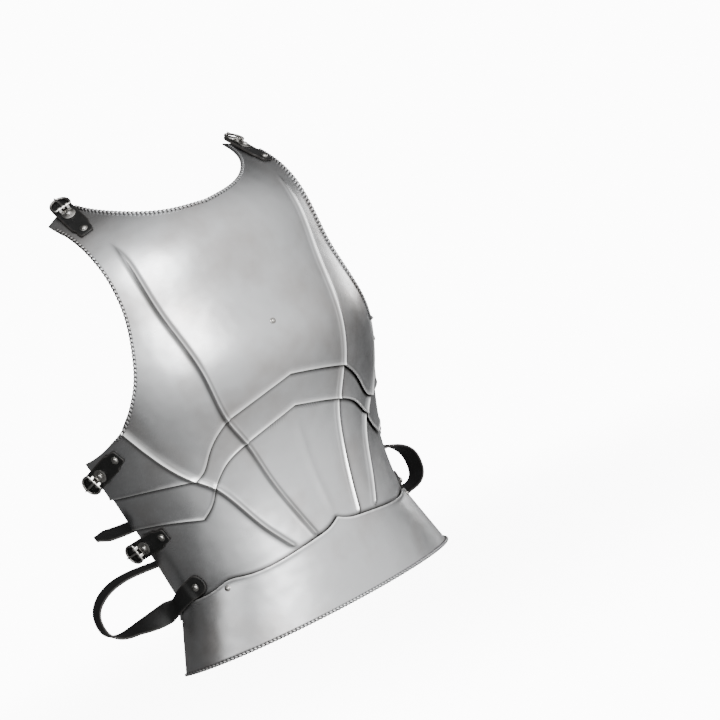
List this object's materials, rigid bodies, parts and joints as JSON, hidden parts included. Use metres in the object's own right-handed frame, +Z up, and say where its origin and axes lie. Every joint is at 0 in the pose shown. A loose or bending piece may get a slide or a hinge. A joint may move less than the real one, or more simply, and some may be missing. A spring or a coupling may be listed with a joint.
{
  "type": "cuirass breastplate",
  "caption": "Steel breastplate for the front of the torso: chest plate, lame and waist plate that lap downwards, flared skirt, roped rolled edges, buckles on leather tabs and waist straps",
  "frame": {"origin": "the flat under the hem's roll at the front centre, on the floor that the breastplate stands on", "axes": "+Z up, -Y the way the chest faces, +X the wearer's left"},
  "size_m": [0.4616, 0.2144, 0.5132],
  "materials": {
    "polished_steel": "satin polish, fine grain",
    "bright_fittings": "bright polish",
    "black_leather": "semi-matt, waxed"
  },
  "bodies": {
    "breastplate": {"belly_lame": "polished_steel", "centre_rivet": "bright_fittings", "chest_plate": "polished_steel", "chest_side_left_buckle_plate": "bright_fittings", "chest_side_left_buckle_rivet": "bright_fittings", "chest_side_left_tab": "black_leather", "chest_side_left_tab_rivet": "bright_fittings", "chest_side_right_buckle_plate": "bright_fittings", "chest_side_right_buckle_rivet": "bright_fittings", "chest_side_right_tab": "black_leather", "chest_side_right_tab_rivet": "bright_fittings", "shoulder_left_buckle_plate": "bright_fittings", "shoulder_left_buckle_rivet": "bright_fittings", "shoulder_left_tab": "black_leather", "shoulder_left_tab_rivet": "bright_fittings", "shoulder_right_buckle_plate": "bright_fittings", "shoulder_right_buckle_rivet": "bright_fittings", "shoulder_right_tab": "black_leather", "shoulder_right_tab_rivet": "bright_fittings", "skirt_plate": "polished_steel", "skirt_rivet_left": "bright_fittings", "skirt_rivet_right": "bright_fittings", "waist_plate": "polished_steel", "waist_side_left_buckle_plate": "bright_fittings", "waist_side_left_buckle_rivet": "bright_fittings", "waist_side_left_tab": "black_leather", "waist_side_left_tab_rivet": "bright_fittings", "waist_side_right_buckle_plate": "bright_fittings", "waist_side_right_buckle_rivet": "bright_fittings", "waist_side_right_tab": "black_leather", "waist_side_right_tab_rivet": "bright_fittings", "waist_strap_left": "black_leather", "waist_strap_right": "black_leather", "waist_strap_rivet_left": "bright_fittings", "waist_strap_rivet_right": "bright_fittings"},
    "shoulder_right_ring": {"shoulder_right_buckle_ring": "bright_fittings"},
    "shoulder_right_tongue": {"shoulder_right_buckle_tongue": "bright_fittings"},
    "shoulder_left_ring": {"shoulder_left_buckle_ring": "bright_fittings"},
    "shoulder_left_tongue": {"shoulder_left_buckle_tongue": "bright_fittings"},
    "chest_side_right_ring": {"chest_side_right_buckle_ring": "bright_fittings"},
    "chest_side_right_tongue": {"chest_side_right_buckle_tongue": "bright_fittings"},
    "chest_side_left_ring": {"chest_side_left_buckle_ring": "bright_fittings"},
    "chest_side_left_tongue": {"chest_side_left_buckle_tongue": "bright_fittings"},
    "waist_side_right_ring": {"waist_side_right_buckle_ring": "bright_fittings"},
    "waist_side_right_tongue": {"waist_side_right_buckle_tongue": "bright_fittings"},
    "waist_side_left_ring": {"waist_side_left_buckle_ring": "bright_fittings"},
    "waist_side_left_tongue": {"waist_side_left_buckle_tongue": "bright_fittings"}
  },
  "joints": [
    {"name": "shoulder_right_ring_hinge", "type": "hinge", "parent": "breastplate", "child": "shoulder_right_ring", "pos_m": [-0.11769, 0.05033, 0.49934], "axis": [0.9381, -0.3016, 0.1703], "range_deg": [0, 80]},
    {"name": "shoulder_right_tongue_hinge", "type": "hinge", "parent": "shoulder_right_ring", "child": "shoulder_right_tongue", "pos_m": [-0.11769, 0.05033, 0.49934], "axis": [0.9381, -0.3016, 0.1703], "range_deg": [0, 60]},
    {"name": "shoulder_left_ring_hinge", "type": "hinge", "parent": "breastplate", "child": "shoulder_left_ring", "pos_m": [0.11769, 0.05033, 0.49934], "axis": [0.9381, 0.3016, -0.1703], "range_deg": [0, 80]},
    {"name": "shoulder_left_tongue_hinge", "type": "hinge", "parent": "shoulder_left_ring", "child": "shoulder_left_tongue", "pos_m": [0.11769, 0.05033, 0.49934], "axis": [0.9381, 0.3016, -0.1703], "range_deg": [0, 60]},
    {"name": "chest_side_right_ring_hinge", "type": "hinge", "parent": "breastplate", "child": "chest_side_right_ring", "pos_m": [-0.19305, 0.09921, 0.22681], "axis": [-0.3416, 0.1961, 0.9191], "range_deg": [0, 80]},
    {"name": "chest_side_right_tongue_hinge", "type": "hinge", "parent": "chest_side_right_ring", "child": "chest_side_right_tongue", "pos_m": [-0.19305, 0.09921, 0.22681], "axis": [-0.3416, 0.1961, 0.9191], "range_deg": [0, 60]},
    {"name": "chest_side_left_ring_hinge", "type": "hinge", "parent": "breastplate", "child": "chest_side_left_ring", "pos_m": [0.19305, 0.09921, 0.22681], "axis": [-0.3416, -0.1961, -0.9191], "range_deg": [0, 80]},
    {"name": "chest_side_left_tongue_hinge", "type": "hinge", "parent": "chest_side_left_ring", "child": "chest_side_left_tongue", "pos_m": [0.19305, 0.09921, 0.22681], "axis": [-0.3416, -0.1961, -0.9191], "range_deg": [0, 60]},
    {"name": "waist_side_right_ring_hinge", "type": "hinge", "parent": "breastplate", "child": "waist_side_right_ring", "pos_m": [-0.16737, 0.12654, 0.13947], "axis": [-0.2313, 0.0633, 0.9708], "range_deg": [0, 80]},
    {"name": "waist_side_right_tongue_hinge", "type": "hinge", "parent": "waist_side_right_ring", "child": "waist_side_right_tongue", "pos_m": [-0.16737, 0.12654, 0.13947], "axis": [-0.2313, 0.0633, 0.9708], "range_deg": [0, 60]},
    {"name": "waist_side_left_ring_hinge", "type": "hinge", "parent": "breastplate", "child": "waist_side_left_ring", "pos_m": [0.16737, 0.12654, 0.13947], "axis": [-0.2313, -0.0633, -0.9708], "range_deg": [0, 80]},
    {"name": "waist_side_left_tongue_hinge", "type": "hinge", "parent": "waist_side_left_ring", "child": "waist_side_left_tongue", "pos_m": [0.16737, 0.12654, 0.13947], "axis": [-0.2313, -0.0633, -0.9708], "range_deg": [0, 60]}
  ]
}
